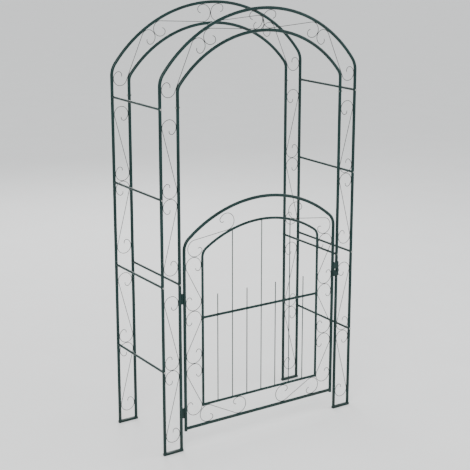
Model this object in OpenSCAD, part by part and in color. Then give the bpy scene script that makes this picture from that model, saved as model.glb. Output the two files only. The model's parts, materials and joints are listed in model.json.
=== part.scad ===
// Garden arch of steel tube with scrolled wire panels and a swinging gate.
// Millimetres, +Z up, origin on the ground at the middle of the arch.
// The gate hangs on the left in the front plane, and -Y is the side it is met from.

/* [Overall size] */
// Width over the outer rails
arch_w = 1150; // [1080:5:1240]
// Depth over the front and back rails
arch_d = 480; // [400:5:600]
// Height to the top of the outer bow
arch_h = 2150; // [2120:5:2250]

/* [Legs] */
// Diameter of the rails and bows
rail_d = 16; // [15.5:0.5:17]
// Wall of every tube
tube_wall = 1.2; // [1:0.1:1.4]
// Distance between the outer and inner rail of a leg
leg_pitch = 94; // [84:1:100]
// Diameter of the side bars between front and back
bar_d = 12; // [11.5:0.5:13]
// Height between one side bar and the next
bar_pitch = 425; // [415:1:430]
// Length of the narrowed end that plugs into the tube below
spigot_len = 30; // [24:1:40]
// Thickness of the flat foot bars
foot_h = 12; // [8:1:14]

/* [Bows] */
// Rise of the outer bow above its bend
outer_rise = 302; // [285:1:315]
// Rise of the inner bow above its bend
inner_rise = 240; // [230:1:250]
// Height of the outer bow above the inner bow at the middle
bow_gap = 105; // [100:1:112]

/* [Gate] */
// Gap between the gate and the legs, which the hinges fill
gate_gap = 10; // [9.5:0.5:11]
// Height of the gate's lower end above the ground
gate_foot = 100; // [90:1:110]
// Height of the top of the gate's outer frame
gate_top = 1237; // [1225:1:1250]
// Rise of the gate's outer bow above its bend
gate_rise = 176; // [165:1:185]
// Diameter of the gate's inner frame tube
inner_tube_d = 13; // [12.5:0.5:14]
// Diameter of the upright gate bars
rod_d = 5; // [4:0.5:6]
// Height of the gate's cross rail
cross_rail_z = 668.5; // [600:0.5:700]
// Height of the short bars' free tops
short_bar_top = 775; // [740:1:820]

/* [Scrolls] */
// Diameter of the scroll wire
wire_d = 3; // [2.5:0.1:3.2]
// Turn of the large curl at each end of a leg scroll
leg_turn = 248; // [225:1:252]
// Turn of the large curl at each end of a gate scroll
gate_turn = 236; // [220:1:245]
// Turn of the large curl at each end of a bow scroll
bow_turn = 213; // [200:1:225]

/* [Hinges and latch] */
// Diameter of the hinge pins
pin_d = 5; // [4:0.1:5.2]
// Length of a hinge
hinge_len = 52; // [44:1:60]
// Turn of the latch bar
latch_turn = 0; // [0:1:90]
// Swing of the gate, outward when negative
gate_swing = 0; // [-85:1:80]

/* [Hidden] */
$fn = 48;
paint = [0.07, 0.16, 0.12];
zinc = [0.32, 0.35, 0.33];
// Proud ring that ties two curved runs of one tube together
bead = 0.03;
touch = 0.1;
rail_x = (arch_w - rail_d) / 2;
inner_x = rail_x - leg_pitch;
rail_y = (arch_d - rail_d) / 2;
rail_bore = rail_d - 2 * tube_wall;
spigot_d = rail_bore - 0.2;
spigot_bore = spigot_d - 2 * tube_wall;
shoulder = 6;
joint_drop = 15;
joint_z = bar_level(2) + joint_drop;
bow_z = bar_level(4) + joint_drop;
outer_apex = arch_h - rail_d / 2;
inner_apex = outer_apex - bow_gap;
outer_fillet = 100;
inner_fillet = 60;
bolt_d = 4.8;
bolt_hole_d = 5.2;
thread_gap = 0.04;
bolt_len = 40;
head_d = 9.6;
head_h = 3.5;
bar_bore = bar_d - 2 * tube_wall;
insert_len = 22;
foot_w = leg_pitch + rail_d;
gate_x = inner_x - rail_d - gate_gap;
gate_apex = gate_top - rail_d / 2;
gate_fillet = 75;
gate_rail_z = gate_foot + 12;
inner_gate_x = gate_x - 102;
inner_bore = inner_tube_d - 2 * tube_wall;
inner_gate_foot = gate_foot + 109.5;
inner_gate_rail_z = inner_gate_foot + inner_tube_d / 2;
inner_gate_apex = gate_apex - 114.5;
inner_gate_rise = 114.5;
inner_gate_fillet = 50;
rod_pitch = 2 * inner_gate_x / 8;
hinge_x = -(gate_x + rail_d / 2 + gate_gap / 2);
barrel_d = gate_gap - 0.6;
knuckle_gap = 0.3;
leg_knuckle_bore = pin_d + 0.04;
gate_knuckle_bore = pin_d + 0.1;
hinge_web = 4;
hinge_levels = [gate_foot + 97, gate_foot + 683];
latch_z = gate_foot + 683;
latch_x = gate_x + 5;
plate_t = 2;
latch_t = 2.5;
latch_gap = 0.3;
latch_len = 76;
latch_w = 16;
rivet_d = 5;
rivet_bore = rivet_d + 0.1;
front_face = -(rail_y + rail_d / 2);
latch_face = front_face - plate_t - latch_gap;
latch_front = latch_face - latch_t;

// Height of side bar number count, counted from the ground
function bar_level(count) = 8 + bar_pitch * count;
// Radius of a bow that rises by rise over half its width
function bow_r(half_w, rise) = (half_w * half_w + rise * rise) / (2 * rise);
// Height of a bow's centre
function bow_c(half_w, rise, apex) = apex - bow_r(half_w, rise);
// Height of the centre of the fillet that leads into a bow
function fillet_z(half_w, rise, apex, fillet) = bow_c(half_w, rise, apex)
  + sqrt(pow(bow_r(half_w, rise) - fillet, 2) - pow(half_w - fillet, 2));
// Angle at which the fillet hands over to the bow
function fillet_end(half_w, rise, apex, fillet) =
  atan2(fillet_z(half_w, rise, apex, fillet) - bow_c(half_w, rise, apex), half_w - fillet);
// Point at a distance and an angle left of vertical from a centre height
function polar(centre_z, reach, lean) = [-reach * sin(lean), centre_z + reach * cos(lean)];

// Moves a front left shape to one of the four corners
module corner(right, back) {
  mirror([right, 0, 0]) mirror([0, back, 0]) children();
}

// Stands a flat drawing up in a plane across the walkway
module upright(y) {
  translate([0, y, 0]) rotate([90, 0, 0]) children();
}

module tube_section(outer, inner) {
  difference() {
    circle(d = outer);
    circle(d = inner);
  }
}

module tube_bend(radius, start, turn, outer, inner) {
  rotate_extrude(angle = turn, start = start) translate([radius, 0]) tube_section(outer, inner);
}

// Thin proud ring round a tube, square to +Y
module tie(outer, inner) {
  rotate([90, 0, 0]) difference() {
    cylinder(d = outer + 2 * bead, h = 1, center = true);
    cylinder(d = inner - 2 * bead, h = 2, center = true);
  }
}

// Upright tube, with a narrowed end below when spigot is above zero
module rail_tube(from, to, spigot) {
  difference() {
    union() {
      translate([0, 0, from]) cylinder(d = rail_d, h = to - from);
      if (spigot > 0) translate([0, 0, from - spigot]) cylinder(d = spigot_d, h = spigot + 1);
    }
    translate([0, 0, from + (spigot > 0 ? shoulder : -1)]) cylinder(d = rail_bore, h = to);
    if (spigot > 0) translate([0, 0, from - spigot - 1])
      cylinder(d = spigot_bore, h = spigot + shoulder + 2);
  }
}

// Bolt hole through a rail, from front to back or from side to side
module rail_hole(z, sideways) {
  translate([0, 0, z]) rotate([0, 0, sideways * 90]) rotate([90, 0, 0])
    cylinder(d = bolt_hole_d, h = 2 * rail_d, center = true);
}

module lower_rail(x, levels) {
  color(paint) translate([-x, -rail_y, 0]) difference() {
    rail_tube(foot_h, joint_z, 0);
    for (level = levels) rail_hole(bar_level(level), 0);
  }
}

module upper_outer_rail() {
  color(paint) translate([-rail_x, -rail_y, 0]) difference() {
    rail_tube(joint_z, bow_z, spigot_len);
    for (level = [2:4]) rail_hole(bar_level(level), 0);
  }
}

module upper_inner_rail() {
  color(paint) translate([-inner_x, -rail_y, 0]) difference() {
    rail_tube(joint_z, bow_z, spigot_len);
    rail_hole(bar_level(2), 0);
    rail_hole(bar_level(4), 1);
  }
}

module foot_bars() {
  color(paint) for (right = [0, 1], back = [0, 1]) corner(right, back)
    translate([-rail_x - rail_d / 2, -rail_y - rail_d / 2, 0]) cube([foot_w, rail_d, foot_h]);
}

// Half of a bow: the left half is plain, the right half plugs into it
module half_bow(x, rise, apex, fillet, plug, sideways) {
  top = fillet_z(x, rise, apex, fillet);
  radius = bow_r(x, rise);
  hand_over = fillet_end(x, rise, apex, fillet);
  seat = 0.4;
  color(paint) {
    translate([x, -rail_y, 0]) difference() {
      rail_tube(bow_z, top, spigot_len);
      rail_hole(bar_level(4), sideways);
    }
    upright(-rail_y) {
      translate([x, top]) tie(rail_d, rail_bore);
      translate([x - fillet, top]) tube_bend(fillet, 0, hand_over, rail_d, rail_bore);
      translate([x - fillet, top]) rotate(hand_over) translate([fillet, 0])
        tie(rail_d, rail_bore);
      translate([0, apex - radius]) {
        tube_bend(radius, hand_over, 90 - hand_over - plug * seat / 2, rail_d, rail_bore);
        if (plug > 0) {
          tube_bend(radius, 90 - seat, seat, rail_d + 2 * bead, spigot_bore - 2 * bead);
          tube_bend(radius, 90 - seat / 2, 3, spigot_d, spigot_bore);
        }
      }
    }
  }
}

module outer_bow(right) {
  mirror([1 - right, 0, 0])
    half_bow(rail_x, outer_rise, outer_apex, outer_fillet, right, 0);
}

module inner_bow(right) {
  mirror([1 - right, 0, 0])
    half_bow(inner_x, inner_rise, inner_apex, inner_fillet, right, 1);
}

// One rolled end of a scroll: a large curl that tightens into a small one
module scroll_end(radius, start, turn, curl_r, curl_turn) {
  rotate_extrude(angle = turn, start = start) translate([radius, 0]) circle(d = wire_d);
  rotate(start) translate([radius, 0]) sphere(d = wire_d + 2 * bead);
  rotate(start + turn) translate([radius - curl_r, 0]) {
    rotate_extrude(angle = curl_turn) translate([curl_r, 0]) circle(d = wire_d);
    translate([curl_r, 0]) sphere(d = wire_d + 2 * bead);
  }
}

// Wire scroll between circles at a and b; curl holds the turn, the small radius and its turn
module scroll(a, ra, b, rb, side, curl) {
  span = b - a;
  gap = norm(span);
  tilt = asin((ra + rb) / gap);
  translate(a) rotate(atan2(span.y, span.x)) mirror([0, side < 0 ? 1 : 0, 0]) {
    scroll_end(ra, 90 - tilt, curl[0], curl[1], curl[2]);
    translate([gap, 0]) rotate(180) scroll_end(rb, 90 - tilt, curl[0], curl[1], curl[2]);
    translate(ra * [sin(tilt), cos(tilt)]) rotate(-tilt) rotate([0, 90, 0])
      cylinder(d = wire_d, h = gap * cos(tilt));
  }
}

leg_mid = (rail_x + inner_x) / 2;
leg_curl_r = (leg_pitch - rail_d - wire_d) / 2 - touch;
leg_scroll_h = 372;

module leg_scrolls() {
  low = (wire_d + touch) / 2 + leg_curl_r;
  color(paint) upright(-rail_y) for (level = [1, 3]) translate([-leg_mid, bar_level(level)])
    for (flip = [0, 1]) mirror([0, flip, 0])
      scroll([0, low + leg_scroll_h - 2 * leg_curl_r], leg_curl_r, [0, low], leg_curl_r,
        -1, [leg_turn, 14, 145]);
}

module bow_scrolls() {
  outer_c = bow_c(rail_x, outer_rise, outer_apex);
  outer_in = bow_r(rail_x, outer_rise) - rail_d / 2 - wire_d / 2 - touch;
  inner_out = inner_apex + rail_d / 2;
  top_r = (outer_apex - rail_d / 2 - inner_out - wire_d) / 2 - 1.5 * touch;
  top_x = top_r + wire_d / 2 + touch;
  reach = outer_in - leg_curl_r;
  bend_clear = 1.2;
  first_r = leg_curl_r - bend_clear;
  first_lean = 34.4;
  second_lean = first_lean - 2 * asin((2 * leg_curl_r + wire_d + touch) / (2 * reach));
  apex_centre = [-top_x, outer_c + sqrt(pow(outer_in - top_r, 2) - top_x * top_x)];
  curl = [bow_turn, 19, 143];
  color(paint) for (right = [0, 1]) mirror([right, 0, 0]) upright(-rail_y) {
    scroll([-leg_mid - bend_clear, bow_z + 71.5], first_r, polar(outer_c, reach, first_lean),
      leg_curl_r, -1, curl);
    scroll(polar(outer_c, reach, second_lean), leg_curl_r, apex_centre, top_r, 1, curl);
  }
}

// Side bar from front rail to back rail, hollowed at both ends to sit on them
module cross_bar(x, level) {
  color(paint) translate([-x, 0, bar_level(level)]) difference() {
    rotate([90, 0, 0]) cylinder(d = bar_d, h = 2 * rail_y, center = true);
    rotate([90, 0, 0]) cylinder(d = bar_bore, h = 2 * rail_y + 2, center = true);
    for (end = [-1, 1]) translate([0, end * rail_y, 0])
      cylinder(d = rail_d, h = 2 * bar_d, center = true);
  }
}

// Places a shape at each end of each side bar, with -Y pointing outward
module each_bar_end() {
  for (right = [0, 1], back = [0, 1]) corner(right, back) {
    for (level = [1:4]) translate([-rail_x, -rail_y, bar_level(level)]) children();
    translate([-inner_x, -rail_y, bar_level(2)]) children();
  }
}

// Button head that beds on the round face of a rail, shank along +Y
module bolt(length) {
  difference() {
    translate([0, 1 - rail_d / 2, 0]) rotate([90, 0, 0]) cylinder(d = head_d, h = head_h + 1);
    cylinder(d = rail_d, h = 2 * head_d, center = true);
  }
  translate([0, -rail_d / 2 - 1, 0]) rotate([-90, 0, 0]) cylinder(d = bolt_d, h = length + 1);
}

module cross_bar_bolts() {
  color(zinc) each_bar_end() bolt(bolt_len);
}

module cross_bar_inserts() {
  color(zinc) each_bar_end() translate([0, rail_d / 2 + 2, 0]) rotate([-90, 0, 0]) difference() {
    cylinder(d = bar_bore, h = insert_len);
    translate([0, 0, -1]) cylinder(d = bolt_d + thread_gap, h = insert_len + 2);
  }
}

// Places a shape at the top joint of each inner rail, with -Y turned to the walkway
module each_inner_joint() {
  for (right = [0, 1], back = [0, 1]) corner(right, back)
    translate([-inner_x, -rail_y, bar_level(4)]) rotate([0, 0, 90]) children();
}

module rail_joint_bolts() {
  color(zinc) each_inner_joint() bolt(rail_d + 6);
}

module rail_joint_nuts() {
  color(zinc) each_inner_joint() difference() {
    translate([0, rail_d / 2 - 1, 0]) rotate([-90, 0, 0]) cylinder(d = head_d, h = 5, $fn = 6);
    rotate([-90, 0, 0]) cylinder(d = bolt_d + thread_gap, h = rail_d);
    cylinder(d = rail_d, h = 2 * head_d, center = true);
  }
}

// Moves everything on the gate by its swing
module on_gate() {
  translate([hinge_x, -rail_y, 0]) rotate([0, 0, gate_swing]) translate([-hinge_x, rail_y, 0])
    children();
}

// Bowed frame from foot to foot in the plane of the gate
module gate_arch(x, rise, apex, fillet, foot, outer, inner) {
  top = fillet_z(x, rise, apex, fillet);
  radius = bow_r(x, rise);
  hand_over = fillet_end(x, rise, apex, fillet);
  upright(-rail_y) {
    for (right = [0, 1]) mirror([right, 0, 0]) {
      translate([x, foot]) rotate([-90, 0, 0]) difference() {
        cylinder(d = outer, h = top - foot);
        translate([0, 0, -1]) cylinder(d = inner, h = top - foot + 2);
      }
      translate([x, top]) tie(outer, inner);
      translate([x - fillet, top]) tube_bend(fillet, 0, hand_over, outer, inner);
      translate([x - fillet, top]) rotate(hand_over) translate([fillet, 0]) tie(outer, inner);
    }
    translate([0, apex - radius])
      tube_bend(radius, hand_over, 180 - 2 * hand_over, outer, inner);
  }
}

// Level tube of the gate between two uprights, hollowed at both ends to sit on them
module gate_level(x, z, outer, inner, post_d) {
  translate([0, -rail_y, z]) difference() {
    rotate([0, 90, 0]) cylinder(d = outer, h = 2 * x, center = true);
    rotate([0, 90, 0]) cylinder(d = inner, h = 2 * x + 2, center = true);
    for (end = [-1, 1]) translate([end * x, 0, 0])
      cylinder(d = post_d, h = 2 * outer, center = true);
  }
}

module gate_outer_frame() {
  color(paint) on_gate()
    gate_arch(gate_x, gate_rise, gate_apex, gate_fillet, gate_foot, rail_d, rail_bore);
}

module gate_inner_frame() {
  color(paint) on_gate() gate_arch(inner_gate_x, inner_gate_rise, inner_gate_apex,
    inner_gate_fillet, inner_gate_foot, inner_tube_d, inner_bore);
}

module gate_bottom_rail() {
  color(paint) on_gate() gate_level(gate_x, gate_rail_z, rail_d, rail_bore, rail_d);
}

module gate_inner_bottom_rail() {
  color(paint) on_gate()
    gate_level(inner_gate_x, inner_gate_rail_z, inner_tube_d, inner_bore, inner_tube_d);
}

module gate_cross_rail() {
  color(paint) on_gate() difference() {
    gate_level(inner_gate_x, cross_rail_z, inner_tube_d, inner_bore, inner_tube_d);
    for (place = [-3:3]) translate([place * rod_pitch, -rail_y, cross_rail_z])
      cylinder(d = rod_d, h = 2 * inner_tube_d, center = true);
  }
}

// Upright gate bar whose foot beds on the inner bottom rail
module gate_bar(place, top) {
  translate([place * rod_pitch, -rail_y, inner_gate_rail_z]) difference() {
    cylinder(d = rod_d, h = top - inner_gate_rail_z);
    rotate([0, 90, 0]) cylinder(d = inner_tube_d, h = 2 * rod_d, center = true);
  }
}

// Height under the gate's inner bow for a bar at a place
function under_bow(place) = bow_c(inner_gate_x, inner_gate_rise, inner_gate_apex)
  + sqrt(pow(bow_r(inner_gate_x, inner_gate_rise) - inner_tube_d / 2, 2)
    - pow(abs(place) * rod_pitch + rod_d / 2, 2));

module gate_long_bars() {
  color(paint) on_gate() for (place = [-2, 0, 2]) gate_bar(place, under_bow(place));
}

module gate_short_bars() {
  color(paint) on_gate() for (place = [-3, -1, 1, 3]) gate_bar(place, short_bar_top);
}

module gate_scrolls() {
  clear = gate_x - rail_d / 2 - inner_gate_x - inner_tube_d / 2;
  stile_mid = inner_gate_x + inner_tube_d / 2 + clear / 2;
  stile_r = (clear - wire_d) / 2 - touch;
  pitch = 270;
  first_top = gate_foot + 880;
  low_clear = inner_gate_foot - gate_rail_z - rail_d / 2;
  low_r = (low_clear - wire_d) / 2 - touch;
  low_z = inner_gate_foot - low_clear / 2;
  last = [-stile_mid, first_top - 3 * pitch + stile_r];
  low_step = sqrt(pow(stile_r + low_r + wire_d + touch, 2) - pow(last.y - low_z, 2));
  shoulder_r = stile_r - 0.8;
  shoulder_x = inner_gate_x + 40;
  shoulder_step = sqrt(pow(stile_r + shoulder_r + wire_d + touch, 2)
    - pow(stile_mid - shoulder_x, 2));
  crown = bow_r(inner_gate_x, inner_gate_rise) + inner_tube_d / 2 + wire_d / 2 + touch
    + stile_r;
  color(paint) on_gate() for (right = [0, 1]) mirror([right, 0, 0]) upright(-rail_y) {
    for (count = [0:2]) scroll([-stile_mid, first_top - count * pitch - stile_r - touch / 2],
      stile_r, [-stile_mid, first_top - (count + 1) * pitch + stile_r + wire_d + touch / 2],
      stile_r, count == 1 ? 1 : -1, [gate_turn, 13.5, 155]);
    scroll([-shoulder_x, first_top - stile_r + shoulder_step], shoulder_r,
      polar(bow_c(inner_gate_x, inner_gate_rise, inner_gate_apex), crown, 19.1), stile_r,
      1, [gate_turn, 13.5, 155]);
    scroll([low_step - stile_mid, low_z], low_r, [low_step - stile_mid + 184.5, low_z], low_r,
      1, [gate_turn + 6, 15, 150]);
  }
}

// Half of a hinge barrel; reach is where the web runs to, and post the tube it beds on
module knuckle(from, bore, reach, post) {
  height = (hinge_len - knuckle_gap) / 2;
  difference() {
    translate([0, 0, from]) union() {
      cylinder(d = barrel_d, h = height);
      translate([min(reach, 0), -hinge_web / 2, 2]) cube([abs(reach), hinge_web, height - 4]);
    }
    translate([0, 0, from - 1]) cylinder(d = bore, h = height + 2);
    translate([post, 0, from - 1]) cylinder(d = rail_d, h = height + 2);
  }
}

module leg_hinge_knuckles() {
  color(paint) for (level = hinge_levels) translate([hinge_x, -rail_y, level])
    knuckle(-hinge_len / 2, leg_knuckle_bore, -7, -inner_x - hinge_x);
}

module gate_hinge_knuckles() {
  color(paint) on_gate() for (level = hinge_levels) translate([hinge_x, -rail_y, level])
    knuckle(knuckle_gap / 2, gate_knuckle_bore, 7, -gate_x - hinge_x);
}

module hinge_pins() {
  color(zinc) for (level = hinge_levels) translate([hinge_x, -rail_y, level - hinge_len / 2 - 1]) {
    cylinder(d = pin_d, h = hinge_len + 2);
    translate([0, 0, hinge_len + 1.3]) cylinder(d = barrel_d - 1, h = 2);
  }
}

module latch_bracket() {
  color(paint) on_gate() difference() {
    translate([latch_x - 11, front_face - plate_t, latch_z - 30]) cube([16, plate_t, 60]);
    translate([latch_x, front_face, latch_z]) rotate([90, 0, 0])
      cylinder(d = rivet_d, h = 4 * plate_t, center = true);
  }
}

module latch_pivot() {
  color(zinc) on_gate() translate([latch_x, front_face, latch_z]) rotate([90, 0, 0]) {
    cylinder(d = rivet_d, h = plate_t + 2 * latch_gap + latch_t + 1);
    translate([0, 0, plate_t + 2 * latch_gap + latch_t]) cylinder(d = 9, h = 2);
  }
}

// Flat bar with round ends that turns about its middle
module latch_bar() {
  color(paint) on_gate() translate([latch_x, latch_face, latch_z])
    rotate([90, latch_turn, 0]) linear_extrude(latch_t) difference() {
      union() {
        square([latch_w, latch_len - latch_w], center = true);
        for (end = [-1, 1]) translate([0, end * (latch_len - latch_w) / 2]) circle(d = latch_w);
      }
      circle(d = rivet_bore);
    }
}

// Plate on the leg with a hook that is open at the top
module latch_keeper() {
  hook_x = latch_x + 13;
  hook_w = 14;
  ledge = latch_z - latch_w / 2 - 0.5;
  lip = latch_front - latch_gap;
  color(paint) {
    translate([latch_x + 9.5, front_face - plate_t, latch_z - latch_len / 2])
      cube([19.5, plate_t, latch_len]);
    translate([hook_x, lip - latch_t, ledge - 6.5]) cube([hook_w, front_face - 1 - lip + latch_t, 6.5]);
    translate([hook_x, lip - latch_t, ledge - 1]) cube([hook_w, latch_t, 9.5]);
  }
}

corner(0, 0) lower_rail(rail_x, [1, 2]);  // front_left_lower_outer_rail
corner(0, 0) lower_rail(inner_x, [2]);  // front_left_lower_inner_rail
corner(0, 0) upper_outer_rail();  // front_left_upper_outer_rail
corner(0, 0) upper_inner_rail();  // front_left_upper_inner_rail
corner(1, 0) lower_rail(rail_x, [1, 2]);  // front_right_lower_outer_rail
corner(1, 0) lower_rail(inner_x, [2]);  // front_right_lower_inner_rail
corner(1, 0) upper_outer_rail();  // front_right_upper_outer_rail
corner(1, 0) upper_inner_rail();  // front_right_upper_inner_rail
corner(0, 1) lower_rail(rail_x, [1, 2]);  // back_left_lower_outer_rail
corner(0, 1) lower_rail(inner_x, [2]);  // back_left_lower_inner_rail
corner(0, 1) upper_outer_rail();  // back_left_upper_outer_rail
corner(0, 1) upper_inner_rail();  // back_left_upper_inner_rail
corner(1, 1) lower_rail(rail_x, [1, 2]);  // back_right_lower_outer_rail
corner(1, 1) lower_rail(inner_x, [2]);  // back_right_lower_inner_rail
corner(1, 1) upper_outer_rail();  // back_right_upper_outer_rail
corner(1, 1) upper_inner_rail();  // back_right_upper_inner_rail
foot_bars();
corner(0, 0) leg_scrolls();  // front_left_leg_scrolls
corner(1, 0) leg_scrolls();  // front_right_leg_scrolls
corner(0, 1) leg_scrolls();  // back_left_leg_scrolls
corner(1, 1) leg_scrolls();  // back_right_leg_scrolls
corner(0, 0) outer_bow(0);  // front_left_outer_bow
corner(0, 0) inner_bow(0);  // front_left_inner_bow
corner(0, 0) outer_bow(1);  // front_right_outer_bow
corner(0, 0) inner_bow(1);  // front_right_inner_bow
corner(0, 1) outer_bow(0);  // back_left_outer_bow
corner(0, 1) inner_bow(0);  // back_left_inner_bow
corner(0, 1) outer_bow(1);  // back_right_outer_bow
corner(0, 1) inner_bow(1);  // back_right_inner_bow
bow_scrolls();  // front_arch_scrolls
corner(0, 1) bow_scrolls();  // back_arch_scrolls
corner(0, 0) cross_bar(rail_x, 1);  // left_lower_bar
corner(0, 0) cross_bar(rail_x, 2);  // left_middle_outer_bar
corner(0, 0) cross_bar(inner_x, 2);  // left_middle_inner_bar
corner(0, 0) cross_bar(rail_x, 3);  // left_upper_bar
corner(0, 0) cross_bar(rail_x, 4);  // left_top_bar
corner(1, 0) cross_bar(rail_x, 1);  // right_lower_bar
corner(1, 0) cross_bar(rail_x, 2);  // right_middle_outer_bar
corner(1, 0) cross_bar(inner_x, 2);  // right_middle_inner_bar
corner(1, 0) cross_bar(rail_x, 3);  // right_upper_bar
corner(1, 0) cross_bar(rail_x, 4);  // right_top_bar
cross_bar_bolts();
cross_bar_inserts();
rail_joint_bolts();
rail_joint_nuts();
gate_outer_frame();
gate_bottom_rail();
gate_inner_frame();
gate_inner_bottom_rail();
gate_cross_rail();
gate_long_bars();
gate_short_bars();
gate_scrolls();
leg_hinge_knuckles();
gate_hinge_knuckles();
hinge_pins();
latch_bracket();
latch_pivot();
latch_bar();
latch_keeper();
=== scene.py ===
"""Looks, fittings, light and camera for a garden arch of scrolled steel tube with a gate.

Lengths are metres and +Z is up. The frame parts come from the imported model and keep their
shape; this file gives them a powder-coat finish and adds the turned and welded detail.
"""

from __future__ import annotations

import json
import logging
import math
from dataclasses import dataclass, field
from enum import Enum
from typing import Iterable, Sequence

import bpy
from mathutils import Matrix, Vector

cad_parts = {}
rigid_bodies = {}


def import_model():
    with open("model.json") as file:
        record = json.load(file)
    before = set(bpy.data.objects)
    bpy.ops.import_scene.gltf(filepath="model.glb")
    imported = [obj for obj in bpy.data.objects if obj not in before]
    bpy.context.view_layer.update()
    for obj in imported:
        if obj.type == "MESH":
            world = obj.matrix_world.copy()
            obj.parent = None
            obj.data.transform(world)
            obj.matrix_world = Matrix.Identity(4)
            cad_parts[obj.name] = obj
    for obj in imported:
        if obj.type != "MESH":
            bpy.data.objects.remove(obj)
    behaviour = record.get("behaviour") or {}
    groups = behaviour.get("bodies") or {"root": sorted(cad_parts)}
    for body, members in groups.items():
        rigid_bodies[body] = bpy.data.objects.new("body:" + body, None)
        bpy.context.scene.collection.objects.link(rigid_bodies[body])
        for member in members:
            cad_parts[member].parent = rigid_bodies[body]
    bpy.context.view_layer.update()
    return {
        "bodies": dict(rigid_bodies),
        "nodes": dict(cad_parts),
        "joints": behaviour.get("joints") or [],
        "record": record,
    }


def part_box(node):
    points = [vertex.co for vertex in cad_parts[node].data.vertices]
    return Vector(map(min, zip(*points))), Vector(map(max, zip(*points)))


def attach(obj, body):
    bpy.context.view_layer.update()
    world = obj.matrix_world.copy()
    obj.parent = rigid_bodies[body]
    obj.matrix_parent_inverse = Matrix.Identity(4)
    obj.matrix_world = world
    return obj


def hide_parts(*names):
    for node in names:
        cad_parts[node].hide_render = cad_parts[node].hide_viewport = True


LOG = logging.getLogger("garden_arch")
MM = 0.001
WIRE_R = 1.5 * MM
RAIL_R = 8 * MM
INNER_TUBE_R = 6.5 * MM
LEG_PANEL = 850 * MM
GATE_SCROLL_STEP = 270 * MM
HINGE_PIN = 55.3 * MM
Point = tuple[float, float, float]


class Body(Enum):
    """Rigid bodies of the arch that a piece can ride on."""

    FRAME = "frame"
    GATE = "gate"
    LATCH = "latch"


class Slot(Enum):
    """Material slots of the arch."""

    GREEN = "green_paint"
    WIRE = "painted_wire"
    STEEL = "plated_steel"


class Side(Enum):
    """Which way a corner of the arch lies from the middle."""

    LOW = -1
    HIGH = 1


# ---------------------------------------------------------------- shaders


@dataclass(frozen=True)
class Value:
    """One output socket that takes part in sums.

    Args:
        graph: the material the socket belongs to.
        socket: the output that holds the value.
    """

    graph: "Graph"
    socket: bpy.types.NodeSocket

    def __add__(self, other: "Value | float") -> "Value":
        return self.graph.math("ADD", self, other)

    def __sub__(self, other: "Value | float") -> "Value":
        return self.graph.math("SUBTRACT", self, other)

    def __mul__(self, other: "Value | float") -> "Value":
        return self.graph.math("MULTIPLY", self, other)

    def __truediv__(self, other: "Value | float") -> "Value":
        return self.graph.math("DIVIDE", self, other)

    def __pow__(self, other: "Value | float") -> "Value":
        return self.graph.math("POWER", self, other)

    def __radd__(self, other: float) -> "Value":
        return self.graph.math("ADD", other, self)

    def __rsub__(self, other: float) -> "Value":
        return self.graph.math("SUBTRACT", other, self)

    def __rmul__(self, other: float) -> "Value":
        return self.graph.math("MULTIPLY", other, self)

    def __rtruediv__(self, other: float) -> "Value":
        return self.graph.math("DIVIDE", other, self)


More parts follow.
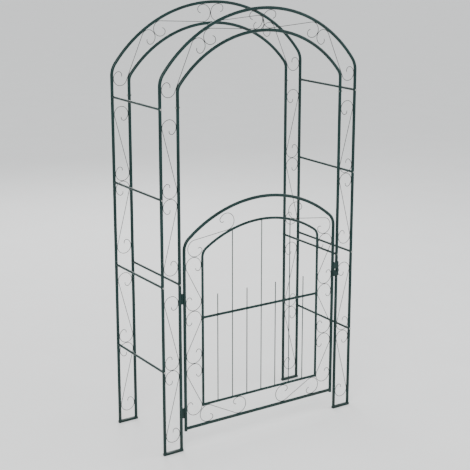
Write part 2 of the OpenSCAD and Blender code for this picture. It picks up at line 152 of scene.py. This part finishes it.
class Graph:
    """Node tree of one principled material."""

    def __init__(self, name: str) -> None:
        """Starts an empty material.

        Args:
            name: what the material is called.
        """
        self.material = bpy.data.materials.new(name)
        self.material.use_nodes = True
        self.tree = self.material.node_tree
        self.tree.nodes.clear()
        output = self.tree.nodes.new("ShaderNodeOutputMaterial")
        self.surface = self.tree.nodes.new("ShaderNodeBsdfPrincipled")
        self.tree.links.new(self.surface.outputs[0], output.inputs["Surface"])
        self.place = self.node("ShaderNodeTexCoord", out="Object")

    def node(self, kind: str, out: str | int = 0, inputs: dict | None = None, **settings) -> Value:
        """Adds a node and returns one of its outputs.

        Args:
            kind: node type.
            out: name or number of the output wanted.
            inputs: input name or number to a plain value or a Value.
            settings: properties of the node itself.

        Returns:
            The chosen output.
        """
        made = self.tree.nodes.new(kind)
        for name, setting in settings.items():
            setattr(made, name, setting)
        for name, given in (inputs or {}).items():
            self.feed(made.inputs[name], given)
        return Value(self, made.outputs[out])

    def feed(self, target: bpy.types.NodeSocket, given: "Value | float | Sequence[float]") -> None:
        """Links a Value to an input, or sets a plain value on it.

        Args:
            target: the input.
            given: what goes in.
        """
        if isinstance(given, Value):
            self.tree.links.new(given.socket, target)
        else:
            target.default_value = given

    def math(self, operation: str, first: "Value | float", second: "Value | float") -> Value:
        """Adds one arithmetic step.

        Args:
            operation: name of the step.
            first: left-hand side.
            second: right-hand side.

        Returns:
            The result.
        """
        return self.node("ShaderNodeMath", inputs={0: first, 1: second}, operation=operation)

    def noise(self, per_metre: float, detail: float = 3.0, stretch: Point = (1, 1, 1)) -> Value:
        """Adds cloudy noise fixed to the object.

        Args:
            per_metre: how many patches fit in a metre.
            detail: how many finer layers ride on it.
            stretch: scale along each axis before the noise.

        Returns:
            A value from 0 to 1.
        """
        spot = self.node("ShaderNodeMapping", inputs={"Vector": self.place, "Scale": stretch})
        return self.node("ShaderNodeTexNoise", "Fac",
                         {"Vector": spot, "Scale": per_metre, "Detail": detail})

    def ramp(self, value: Value, low: float, high: float) -> Value:
        """Spreads a stretch of a value over 0 to 1.

        Args:
            value: what is spread.
            low: where the result is 0.
            high: where the result is 1.

        Returns:
            The clamped result.
        """
        return self.node("ShaderNodeMapRange", inputs={"Value": value, "From Min": low,
                                                       "From Max": high}, clamp=True)

    def blend(self, amount: Value, first: "Value | Sequence[float]",
              second: "Value | Sequence[float]") -> Value:
        """Mixes two colours.

        Args:
            amount: 0 for the first colour, 1 for the second.
            first: a colour.
            second: another colour.

        Returns:
            The mixed colour.
        """
        return self.node("ShaderNodeMix", 2, {0: amount, 6: first, 7: second}, data_type="RGBA")

    def height(self) -> Value:
        """Height above the ground in metres."""
        return self.node("ShaderNodeSeparateXYZ", "Z", {0: self.place})

    def bump(self, relief: Value, depth: float, strength: float) -> None:
        """Feeds a relief to the surface normal.

        Args:
            relief: the relief from 0 to 1.
            depth: its depth in metres.
            strength: how strongly it shows.
        """
        normal = self.node("ShaderNodeBump", inputs={"Height": relief, "Distance": depth,
                                                     "Strength": strength})
        self.feed(self.surface.inputs["Normal"], normal)

    def set(self, **inputs: "Value | float | Sequence[float]") -> None:
        """Sets inputs of the surface, with an underscore for each space in a name.

        Args:
            inputs: input names and what goes in.
        """
        for name, given in inputs.items():
            self.feed(self.surface.inputs[name.replace("_", " ")], given)


def rgba(red: float, green: float, blue: float) -> tuple[float, float, float, float]:
    """Returns an opaque colour."""
    return (red, green, blue, 1.0)


@dataclass(frozen=True)
class PowderCoat:
    """Stoved powder paint on steel: fine orange peel, dust low down, thin scuffs.

    Args:
        name: what the material is called.
        deep: colour in the body of the coat.
        fresh: colour where the coat is a little thinner.
        peel: patches of orange peel to a metre.
        shine: roughness of the clean coat.
    """

    name: str
    deep: Point
    fresh: Point
    peel: float = 620.0
    shine: float = 0.33

    def build(self) -> bpy.types.Material:
        """Builds the material.

        Returns:
            The finished material.
        """
        graph = Graph(self.name)
        cloud = graph.ramp(graph.noise(9.0, 4.0), 0.35, 0.68)
        speck = graph.ramp(graph.noise(1500.0, 2.0), 0.62, 0.78)
        scuff = graph.ramp(graph.noise(70.0, 6.0, (1, 1, 0.12)), 0.66, 0.76)
        low = graph.ramp(graph.height(), 0.34, 0.0)
        dust = low * graph.ramp(graph.noise(38.0, 6.0), 0.38, 0.75) * 0.42
        coat = graph.blend(cloud, rgba(*self.deep), rgba(*self.fresh))
        coat = graph.blend(speck * 0.2, coat, rgba(0.010, 0.036, 0.032))
        coat = graph.blend(scuff * 0.25, coat, rgba(0.022, 0.044, 0.04))
        coat = graph.blend(dust, coat, rgba(0.05, 0.043, 0.035))
        graph.set(Base_Color=coat, Coat_Roughness=0.2, IOR=1.42, Specular_IOR_Level=0.28,
                  Roughness=self.shine + cloud * 0.07 + scuff * 0.12 + dust * 0.9,
                  Coat_Weight=0.05 - dust * 0.05)
        relief = graph.noise(self.peel, 1.5) * 0.75 + graph.noise(self.peel * 3.1, 1.0) * 0.25
        graph.bump(relief - scuff * 0.15, 0.00012, 0.5)
        return graph.material


@dataclass(frozen=True)
class PlatedSteel:
    """Dull zinc plate with turning marks and a little staining.

    Args:
        name: what the material is called.
        bright: colour of the clean plate.
        stain: colour of the stained plate.
    """

    name: str
    bright: Point = (0.40, 0.42, 0.41)
    stain: Point = (0.19, 0.17, 0.14)

    def build(self) -> bpy.types.Material:
        """Builds the material.

        Returns:
            The finished material.
        """
        graph = Graph(self.name)
        patch = graph.ramp(graph.noise(260.0, 5.0), 0.42, 0.7)
        marks = graph.noise(2600.0, 2.0, (1, 1, 0.2))
        graph.set(Base_Color=graph.blend(patch * 0.7, rgba(*self.bright), rgba(*self.stain)),
                  Metallic=0.95 - patch * 0.35, Roughness=0.34 + patch * 0.28 + marks * 0.08)
        graph.bump(marks * 0.6 + patch * 0.4, 0.00004, 0.45)
        return graph.material


@dataclass(frozen=True)
class StudioPaper:
    """Pale matt ground for the arch to stand on."""

    name: str = "studio_paper"

    def build(self) -> bpy.types.Material:
        """Builds the material.

        Returns:
            The finished material.
        """
        graph = Graph(self.name)
        grain = graph.ramp(graph.noise(3.0, 5.0), 0.3, 0.7)
        graph.set(Base_Color=graph.blend(grain, rgba(0.92, 0.92, 0.915), rgba(0.94, 0.94, 0.935)),
                  Roughness=0.85 + grain * 0.06)
        return graph.material


@dataclass
class Palette:
    """All finishes of the arch, built once."""

    made: dict[Slot, bpy.types.Material] = field(default_factory=dict)

    def __post_init__(self) -> None:
        finishes = {
            Slot.GREEN: PowderCoat("green_powder_coat", (0.002, 0.017, 0.0155),
                                   (0.004, 0.026, 0.024)),
            Slot.WIRE: PowderCoat("wire_powder_coat", (0.003, 0.005, 0.0045),
                                  (0.006, 0.009, 0.008), 900.0, 0.42),
            Slot.STEEL: PlatedSteel("dull_plated_steel"),
        }
        self.made = {slot: finish.build() for slot, finish in finishes.items()}

    def dress(self, piece: bpy.types.Object, slot: Slot) -> None:
        """Gives a piece one finish all over.

        Args:
            piece: the mesh object.
            slot: whose finish it takes.
        """
        if not piece.material_slots:
            piece.data.materials.append(self.made[slot])
        for place in piece.material_slots:
            place.material = self.made[slot]


# ---------------------------------------------------------------- modelling


class Shop:
    """Small set of modelling steps, each leaving one active mesh object."""

    @staticmethod
    def clear() -> None:
        """Drops the selection."""
        bpy.ops.object.select_all(action="DESELECT")

    @staticmethod
    def pick(pieces: Iterable[bpy.types.Object]) -> bpy.types.Object:
        """Selects pieces, the last one active.

        Args:
            pieces: what is selected.

        Returns:
            The active piece.
        """
        Shop.clear()
        for piece in pieces:
            piece.select_set(True)
            bpy.context.view_layer.objects.active = piece
        return bpy.context.view_layer.objects.active

    @staticmethod
    def modify(piece: bpy.types.Object, kind: str, **settings) -> bpy.types.Object:
        """Adds a modifier, sets it and applies it.

        Args:
            piece: the mesh object.
            kind: modifier type.
            settings: its properties.

        Returns:
            The same piece.
        """
        Shop.pick([piece])
        bpy.ops.object.modifier_add(type=kind)
        modifier = piece.modifiers[-1]
        for name, setting in settings.items():
            setattr(modifier, name, setting)
        bpy.ops.object.modifier_apply(modifier=modifier.name)
        return piece

    @staticmethod
    def ease(piece: bpy.types.Object, width: float, segments: int = 3) -> bpy.types.Object:
        """Rounds the sharp edges of a piece.

        Args:
            piece: the mesh object.
            width: width of the rounding.
            segments: facets across it.

        Returns:
            The same piece.
        """
        return Shop.modify(piece, "BEVEL", width=width, segments=segments,
                           limit_method="ANGLE", angle_limit=math.radians(40))

    @staticmethod
    def combine(piece: bpy.types.Object, tool: bpy.types.Object, how: str) -> bpy.types.Object:
        """Combines a piece with a tool and throws the tool away.

        Args:
            piece: the mesh object that stays.
            tool: the mesh object that goes.
            how: kind of combination.

        Returns:
            The piece.
        """
        Shop.modify(piece, "BOOLEAN", object=tool, operation=how, solver="EXACT")
        Shop.pick([tool])
        bpy.ops.object.delete()
        return piece

    @staticmethod
    def box(low: Point, high: Point) -> bpy.types.Object:
        """Makes a box between two corners."""
        Shop.clear()
        middle = [(a + b) / 2 for a, b in zip(low, high)]
        bpy.ops.mesh.primitive_cube_add(size=1, location=middle)
        bpy.ops.transform.resize(value=[b - a for a, b in zip(low, high)])
        return Shop.settle(bpy.context.active_object)

    @staticmethod
    def rod(radius: float, start: Point, end: Point, sides: int = 40) -> bpy.types.Object:
        """Makes a round rod from one point to another."""
        Shop.clear()
        along = Vector(end) - Vector(start)
        bpy.ops.mesh.primitive_cylinder_add(vertices=sides, radius=radius, depth=along.length,
                                            location=(Vector(start) + Vector(end)) / 2,
                                            rotation=along.to_track_quat("Z", "Y").to_euler())
        return Shop.settle(bpy.context.active_object)

    @staticmethod
    def ring(radius: float, thick: float, at: Point, along: Point) -> bpy.types.Object:
        """Makes a ring of round section about a direction."""
        Shop.clear()
        turn = Vector(along).to_track_quat("Z", "Y").to_euler()
        bpy.ops.mesh.primitive_torus_add(major_radius=radius, minor_radius=thick, location=at,
                                         rotation=turn, major_segments=36, minor_segments=12)
        return Shop.settle(bpy.context.active_object)

    @staticmethod
    def lump(at: Point, size: Point) -> bpy.types.Object:
        """Makes a rounded lump with the given half sizes."""
        Shop.clear()
        bpy.ops.mesh.primitive_uv_sphere_add(segments=16, ring_count=10, radius=1, location=at)
        bpy.ops.transform.resize(value=size)
        return Shop.settle(bpy.context.active_object)

    @staticmethod
    def settle(piece: bpy.types.Object) -> bpy.types.Object:
        """Moves a piece's place into its mesh."""
        Shop.pick([piece])
        bpy.ops.object.transform_apply(location=True, rotation=True, scale=True)
        return piece

    @staticmethod
    def join(pieces: list[bpy.types.Object], name: str) -> bpy.types.Object:
        """Joins pieces into one named object."""
        whole = Shop.pick(pieces)
        if len(pieces) > 1:
            bpy.ops.object.join()
        whole.name = name
        return Shop.settle(whole)


@dataclass
class Assembly:
    """A group of pieces that share a palette.

    Args:
        palette: finishes of the arch.
    """

    palette: Palette

    def place(self, pieces: list[bpy.types.Object], name: str, body: Body, slot: Slot,
              instead_of: Sequence[str] = ()) -> bpy.types.Object:
        """Joins pieces, finishes them and lets them ride on a body.

        Args:
            pieces: what belongs together.
            name: what the whole is called.
            body: what it rides on.
            slot: whose finish it takes.
            instead_of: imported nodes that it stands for.

        Returns:
            The finished object.
        """
        whole = Shop.join(pieces, name)
        bpy.ops.object.shade_smooth_by_angle(angle=math.radians(38))
        self.palette.dress(whole, slot)
        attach(whole, body.value)
        if instead_of:
            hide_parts(*instead_of)
        LOG.info("%s: %d faces", name, len(whole.data.polygons))
        return whole


def middle(node: str) -> Vector:
    """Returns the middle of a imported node's box."""
    low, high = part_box(node)
    return (Vector(low) + Vector(high)) / 2


def corner_name(left: Side, front: Side, what: str) -> str:
    """Returns the name of a corner's node."""
    depth = "front" if front is Side.LOW else "back"
    width = "left" if left is Side.LOW else "right"
    return f"{depth}_{width}_{what}"


@dataclass
class Fasteners(Assembly):
    """Button-head bolts of the side bars and rail joints, with their nuts."""

    head_r: float = 4.8 * MM
    socket_r: float = 1.75 * MM

    def head(self, at: Point, out: Point) -> bpy.types.Object:
        """Makes a domed button head with a hex socket.

        Args:
            at: the outermost point on the head's axis.
            out: the way the head faces.

        Returns:
            The head.
        """
        tip, facing = Vector(at), Vector(out)
        head = Shop.rod(self.head_r, tip - facing * 4.4 * MM, tip)
        Shop.ease(head, 1.9 * MM, 6)
        socket = Shop.rod(self.socket_r, tip - facing * 2.1 * MM, tip + facing * MM, 6)
        return Shop.combine(head, socket, "DIFFERENCE")

    def nut(self, at: Point, out: Point) -> bpy.types.Object:
        """Makes a hex nut with eased corners round a bolt end.

        Args:
            at: the outermost point on the nut's axis.
            out: the way the nut faces.

        Returns:
            The nut with the bolt end in it.
        """
        tip, facing = Vector(at), Vector(out)
        nut = Shop.rod(self.head_r, tip - facing * 4.6 * MM, tip, 6)
        Shop.ease(nut, 0.35 * MM, 2)
        thread = Shop.rod(2.4 * MM, tip - facing * 5 * MM, tip + facing * 0.9 * MM, 24)
        return Shop.join([nut, Shop.ease(thread, 0.3 * MM, 2)], "nut")

    def build(self) -> None:
        """Builds all bolts and nuts of the frame."""
        low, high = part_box("cross_bar_bolts")
        bars = [f"{side}_{level}_bar" for side in ("left", "right")
                for level in ("lower", "middle_outer", "middle_inner", "upper", "top")]
        heads = [self.head((middle(bar).x, y, middle(bar).z), (0, math.copysign(1, y), 0))
                 for bar in bars for y in (low[1], high[1])]
        self.place(heads, "button_heads", Body.FRAME, Slot.STEEL, ["cross_bar_bolts"])
        joints, nuts = [], []
        height = middle("rail_joint_bolts").z
        for left in Side:
            for front in Side:
                rail = middle(corner_name(left, front, "upper_inner_rail"))
                for facing, made in ((-left.value, joints), (left.value, nuts)):
                    reach = (11.5 if made is joints else 12.0) * MM
                    at = (rail.x + facing * reach, rail.y, height)
                    shape = self.head if made is joints else self.nut
                    made.append(shape(at, (facing, 0, 0)))
        self.place(joints, "joint_heads", Body.FRAME, Slot.STEEL, ["rail_joint_bolts"])
        self.place(nuts, "joint_nuts", Body.FRAME, Slot.STEEL, ["rail_joint_nuts"])


@dataclass
class Feet(Assembly):
    """Flat foot bars with eased edges, welded under the rails."""

    def build(self) -> None:
        """Builds the four foot bars and the beads round the rails."""
        low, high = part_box("foot_bars")
        bars, beads = [], []
        for left in Side:
            for front in Side:
                outer = middle(corner_name(left, front, "lower_outer_rail"))
                inner = middle(corner_name(left, front, "lower_inner_rail"))
                ends = sorted((outer.x + left.value * RAIL_R, inner.x - left.value * RAIL_R))
                bar = Shop.box((ends[0], outer.y - RAIL_R, low[2]),
                               (ends[1], outer.y + RAIL_R, high[2]))
                bars.append(Shop.ease(bar, 1.1 * MM))
                for rail, inward in ((outer, -left.value), (inner, left.value)):
                    at = (rail.x + inward * 1.1 * MM, rail.y, high[2] + 0.3 * MM)
                    beads.append(Shop.ring(7.9 * MM, 1.1 * MM, at, (0, 0, 1)))
        self.place(bars, "eased_foot_bars", Body.FRAME, Slot.GREEN, ["foot_bars"])
        self.place(beads, "foot_beads", Body.FRAME, Slot.GREEN)


@dataclass
class Hinges(Assembly):
    """Pins with domed heads, and beads along the knuckle webs."""

    def build(self) -> None:
        """Builds both hinges' visible detail."""
        low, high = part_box("hinge_pins")
        knuckle_low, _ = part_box("leg_hinge_knuckles")
        axis = middle("hinge_pins")
        length = 52 * MM
        pins, leg_beads, gate_beads = [], [], []
        for top in (low[2] + HINGE_PIN, high[2]):
            pin = Shop.rod(2.5 * MM, (axis.x, axis.y, top - HINGE_PIN), (axis.x, axis.y, top - MM))
            dome = Shop.rod(4.2 * MM, (axis.x, axis.y, top - 2 * MM), (axis.x, axis.y, top))
            pins += [Shop.ease(pin, 0.5 * MM), Shop.ease(dome, 1.2 * MM, 5)]
            base = top - length - 2.3 * MM
            for face in (-1, 1):
                leg_beads.append(Shop.lump(
                    (knuckle_low[0] + 1.6 * MM, axis.y + face * 2.6 * MM, base + 12.9 * MM),
                    (1.2 * MM, 1.2 * MM, 10.5 * MM)))
                gate_beads.append(Shop.lump(
                    (2 * axis.x - knuckle_low[0] - 1.6 * MM, axis.y + face * 2.6 * MM,
                     base + 39.1 * MM), (1.2 * MM, 1.2 * MM, 10.5 * MM)))
        self.place(pins, "domed_hinge_pins", Body.FRAME, Slot.STEEL, ["hinge_pins"])
        self.place(leg_beads, "leg_knuckle_beads", Body.FRAME, Slot.GREEN)
        self.place(gate_beads, "gate_knuckle_beads", Body.GATE, Slot.GREEN)


@dataclass
class Latch(Assembly):
    """Turn bar, its bracket and rivet, and the hooked keeper, all with eased edges."""

    def build(self) -> None:
        """Builds the latch."""
        low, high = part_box("latch_bar")
        centre = middle("latch_bar")
        radius = (high[0] - low[0]) / 2
        plate = Shop.box((centre.x - radius, low[1], low[2] + radius),
                         (centre.x + radius, high[1], high[2] - radius))
        for height in (low[2] + radius, high[2] - radius):
            end = Shop.rod(radius, (centre.x, low[1], height), (centre.x, high[1], height), 64)
            Shop.combine(plate, end, "UNION")
        bore = Shop.rod(2.55 * MM, (centre.x, low[1] - MM, centre.z),
                        (centre.x, high[1] + MM, centre.z))
        Shop.combine(plate, bore, "DIFFERENCE")
        self.place([Shop.ease(plate, 0.4 * MM)], "eased_latch_bar", Body.LATCH, Slot.GREEN,
                   ["latch_bar"])
        low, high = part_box("latch_bracket")
        bracket = Shop.ease(Shop.box(low, high), 0.5 * MM)
        self.place([bracket], "eased_latch_bracket", Body.GATE, Slot.GREEN, ["latch_bracket"])
        low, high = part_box("latch_pivot")
        shank = Shop.rod(2.5 * MM, (centre.x, high[1], centre.z), (centre.x, low[1] + MM, centre.z))
        dome = Shop.rod(4.5 * MM, (centre.x, low[1] + 2 * MM, centre.z),
                        (centre.x, low[1], centre.z))
        self.place([shank, Shop.ease(dome, 1.4 * MM, 5)], "domed_rivet", Body.GATE, Slot.STEEL,
                   ["latch_pivot"])
        self.keeper()

    def keeper(self) -> None:
        """Builds the keeper: a back plate, a ledge and a front lip."""
        low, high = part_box("latch_keeper")
        bar = middle("latch_bar").z
        ledge = bar - 8.5 * MM
        plate = Shop.box((low[0], high[1] - 2 * MM, low[2]), high)
        hook_x = low[0] + 3.5 * MM
        hook = Shop.box((hook_x, low[1], ledge - 6.5 * MM),
                        (hook_x + 14 * MM, high[1] - MM, ledge))
        lip = Shop.box((hook_x, low[1], ledge - MM), (hook_x + 14 * MM, low[1] + 2.5 * MM,
                                                      ledge + 8.5 * MM))
        Shop.combine(hook, lip, "UNION")
        self.place([Shop.ease(plate, 0.5 * MM), Shop.ease(hook, 0.5 * MM)], "eased_keeper",
                   Body.FRAME, Slot.GREEN, ["latch_keeper"])


@dataclass
class Welds(Assembly):
    """Small beads where wires and bars are welded to the tubes."""

    def scroll_bead(self, x: float, y: float, z: float, lean: float = 0.0) -> bpy.types.Object:
        """Makes the bead between a wire curl and a tube.

        Args:
            x: place across the arch.
            y: place from front to back.
            z: height.
            lean: turn of the tube away from upright, in radians.

        Returns:
            The bead.
        """
        bead = Shop.lump((x, y, z), (1.1 * MM, 2.0 * MM, 4.2 * MM))
        if lean:
            Shop.pick([bead])
            bpy.ops.transform.rotate(value=lean, orient_axis="Y", center_override=(x, y, z))
            Shop.settle(bead)
        return bead

    def roughen(self, bead: bpy.types.Object) -> bpy.types.Object:
        """Gives beads the uneven skin of hand welding.

        Args:
            bead: joined beads.

        Returns:
            The same object.
        """
        clouds = bpy.data.textures.new("weld_ripple", "CLOUDS")
        clouds.noise_scale = 0.0022
        return Shop.modify(bead, "DISPLACE", texture=clouds, strength=0.0006, mid_level=0.5,
                           texture_coords="LOCAL")

    def build(self) -> None:
        """Builds the beads of the legs and of the gate."""
        beads: list[bpy.types.Object] = []
        for left in Side:
            for front in Side:
                low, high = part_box(corner_name(left, front, "leg_scrolls"))
                y = (low[1] + high[1]) / 2
                for centre in self.leg_centres(low[2], high[2], (high[0] - low[0]) / 2):
                    beads += [self.scroll_bead(x, y, centre) for x in (low[0], high[0])]
        skin = Shop.join(beads, "leg_scroll_beads")
        self.place([self.roughen(skin)], "leg_scroll_beads", Body.FRAME, Slot.GREEN)
        self.gate()

    @staticmethod
    def leg_centres(low: float, high: float, radius: float) -> list[float]:
        """Heights of the curl centres of one leg's four scrolls.

        Args:
            low: lowest point of the scrolls.
            high: highest point of the scrolls.
            radius: outer radius of a curl.

        Returns:
            Eight heights.
        """
        panel = high - low - LEG_PANEL
        starts = (low, low + LEG_PANEL)
        offsets = (radius, panel / 2 - radius, panel / 2 + radius, panel - radius)
        return [start + offset for start in starts for offset in offsets]

    def tee(self, start: Point, end: Point, radius: float, post: Point) -> bpy.types.Object:
        """Makes the bead where a level tube meets an upright one.

        Args:
            start: point on the level tube's axis inside the upright.
            end: point on the level tube's axis just outside it.
            radius: radius of both tubes.
            post: point on the upright's axis.

        Returns:
            The bead.
        """
        level = Shop.rod(radius + 0.9 * MM, start, end, 56)
        half = 1.6 * radius
        upright = Shop.rod(radius + 1.1 * MM, (post[0], post[1], post[2] - half),
                           (post[0], post[1], post[2] + half), 56)
        return Shop.combine(level, upright, "INTERSECT")

    def gate(self) -> None:
        """Builds the beads of the gate."""
        beads: list[bpy.types.Object] = []
        for rail, frame, radius in (("gate_bottom_rail", "gate_outer_frame", RAIL_R),
                                    ("gate_inner_bottom_rail", "gate_inner_frame", INNER_TUBE_R),
                                    ("gate_cross_rail", "gate_inner_frame", INNER_TUBE_R)):
            at, (low, high) = middle(rail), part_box(frame)
            for post, inward in ((low[0] + radius, 1), (high[0] - radius, -1)):
                beads.append(self.tee((post + inward * 2 * MM, at.y, at.z),
                                      (post + inward * 2 * radius, at.y, at.z), radius,
                                      (post, at.y, at.z)))
        cross, foot = middle("gate_cross_rail"), middle("gate_inner_bottom_rail")
        low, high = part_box("gate_short_bars")
        pitch = (high[0] - low[0] - 5 * MM) / 6
        for place in range(-3, 4):
            for height in (foot.z + 6.6 * MM, cross.z - 6.4 * MM, cross.z + 6.4 * MM):
                beads.append(Shop.ring(2.6 * MM, 0.9 * MM, (place * pitch, cross.y, height),
                                       (0, 0, 1)))
        outer_low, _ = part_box("gate_outer_frame")
        inner_low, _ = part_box("gate_inner_frame")
        scroll_low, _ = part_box("gate_scrolls")
        radius = (inner_low[0] - outer_low[0] - 2 * RAIL_R) / 2
        first = outer_low[2] + 880 * MM
        for count in range(3):
            top = first - count * GATE_SCROLL_STEP + WIRE_R
            for height in (top - radius, top - GATE_SCROLL_STEP + radius):
                for side in (-1, 1):
                    for x in (outer_low[0] + 2 * RAIL_R, inner_low[0]):
                        beads.append(self.scroll_bead(side * x, cross.y, height))
        skin = Shop.join(beads, "gate_beads")
        self.place([self.roughen(skin)], "gate_beads", Body.GATE, Slot.GREEN)


@dataclass
class PackedParts:
    """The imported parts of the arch, which only take a finish.

    Args:
        palette: finishes of the arch.
    """

    frame: dict
    palette: Palette

    def dress(self) -> None:
        """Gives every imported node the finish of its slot."""
        slots = {entry["node"]: Slot(entry["material_slot"])
                 for entry in self.frame["record"]["subparts"]}
        for node, piece in self.frame["nodes"].items():
            self.palette.dress(piece, slots[node])


# ---------------------------------------------------------------- studio


@dataclass(frozen=True)
class SoftLight:
    """One large soft lamp.

    Args:
        name: what the lamp is called.
        place: where it stands.
        size: side of its square face.
        power: its power in watts.
        tint: its colour.
    """

    name: str
    place: Point
    size: float
    power: float
    tint: Point = (1.0, 1.0, 1.0)

    def build(self, target: Vector) -> None:
        """Sets up the lamp.

        Args:
            target: what it is aimed at.
        """
        bpy.ops.object.light_add(type="AREA", location=self.place)
        lamp = bpy.context.active_object
        lamp.name = self.name
        lamp.data.size = self.size
        lamp.data.energy = self.power
        lamp.data.color = self.tint
        lamp.rotation_euler = (target - Vector(self.place)).to_track_quat("-Z", "Y").to_euler()


@dataclass(frozen=True)
class Studio:
    """Pale ground, even sky, soft lamps and the camera.

    Args:
        camera_at: where the camera stands.
        heading: turn of the view right of +Y, in degrees.
        pitch: tilt of the view, downward when negative, in degrees.
        lens: focal length for a 36 mm sensor.
        shift: upright shift of the lens, as a share of the picture.
    """

    camera_at: Point = (-3.2125, -4.8614, 2.5743)
    heading: float = 33.42
    pitch: float = -13.72
    lens: float = 90.6
    shift: float = -0.07

    def build(self) -> None:
        """Sets up the whole studio."""
        Shop.clear()
        bpy.ops.mesh.primitive_plane_add(size=60, location=(0, 0, 0))
        floor = bpy.context.active_object
        floor.name = "studio_floor"
        floor.data.materials.append(StudioPaper().build())
        target = Vector((0, 0, 1.05))
        for lamp in (SoftLight("key_lamp", (-3.6, -4.2, 4.6), 2.6, 240.0, (1.0, 0.985, 0.96)),
                     SoftLight("fill_lamp", (4.6, -2.6, 3.0), 3.0, 90.0, (0.94, 0.97, 1.0)),
                     SoftLight("rim_lamp", (1.2, 4.6, 3.8), 2.4, 130.0)):
            lamp.build(target)
        world = bpy.data.worlds.new("studio_sky")
        world.use_nodes = True
        sky = world.node_tree.nodes["Background"]
        sky.inputs["Color"].default_value = rgba(0.93, 0.95, 0.96)
        sky.inputs["Strength"].default_value = 1.1
        bpy.context.scene.world = world
        bpy.ops.object.camera_add(location=self.camera_at, rotation=(
            math.radians(90 + self.pitch), 0, math.radians(-self.heading)))
        camera = bpy.context.active_object
        camera.name = "studio_camera"
        camera.data.lens = self.lens
        camera.data.sensor_width = 36
        camera.data.shift_y = self.shift
        camera.data.clip_end = 100
        camera.data.dof.use_dof = False
        bpy.context.scene.camera = camera


@dataclass
class GardenArch:
    """The whole visual model.
    """

    frame: dict

    def build(self) -> None:
        """Builds every group of the arch and the studio round it."""
        palette = Palette()
        PackedParts(self.frame, palette).dress()
        for group in (Feet, Fasteners, Hinges, Latch, Welds):
            group(palette).build()
        Studio().build()


def main() -> None:
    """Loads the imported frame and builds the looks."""
    logging.basicConfig(level=logging.INFO)
    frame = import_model()
    GardenArch(frame).build()


if __name__ == "__main__":
    main()
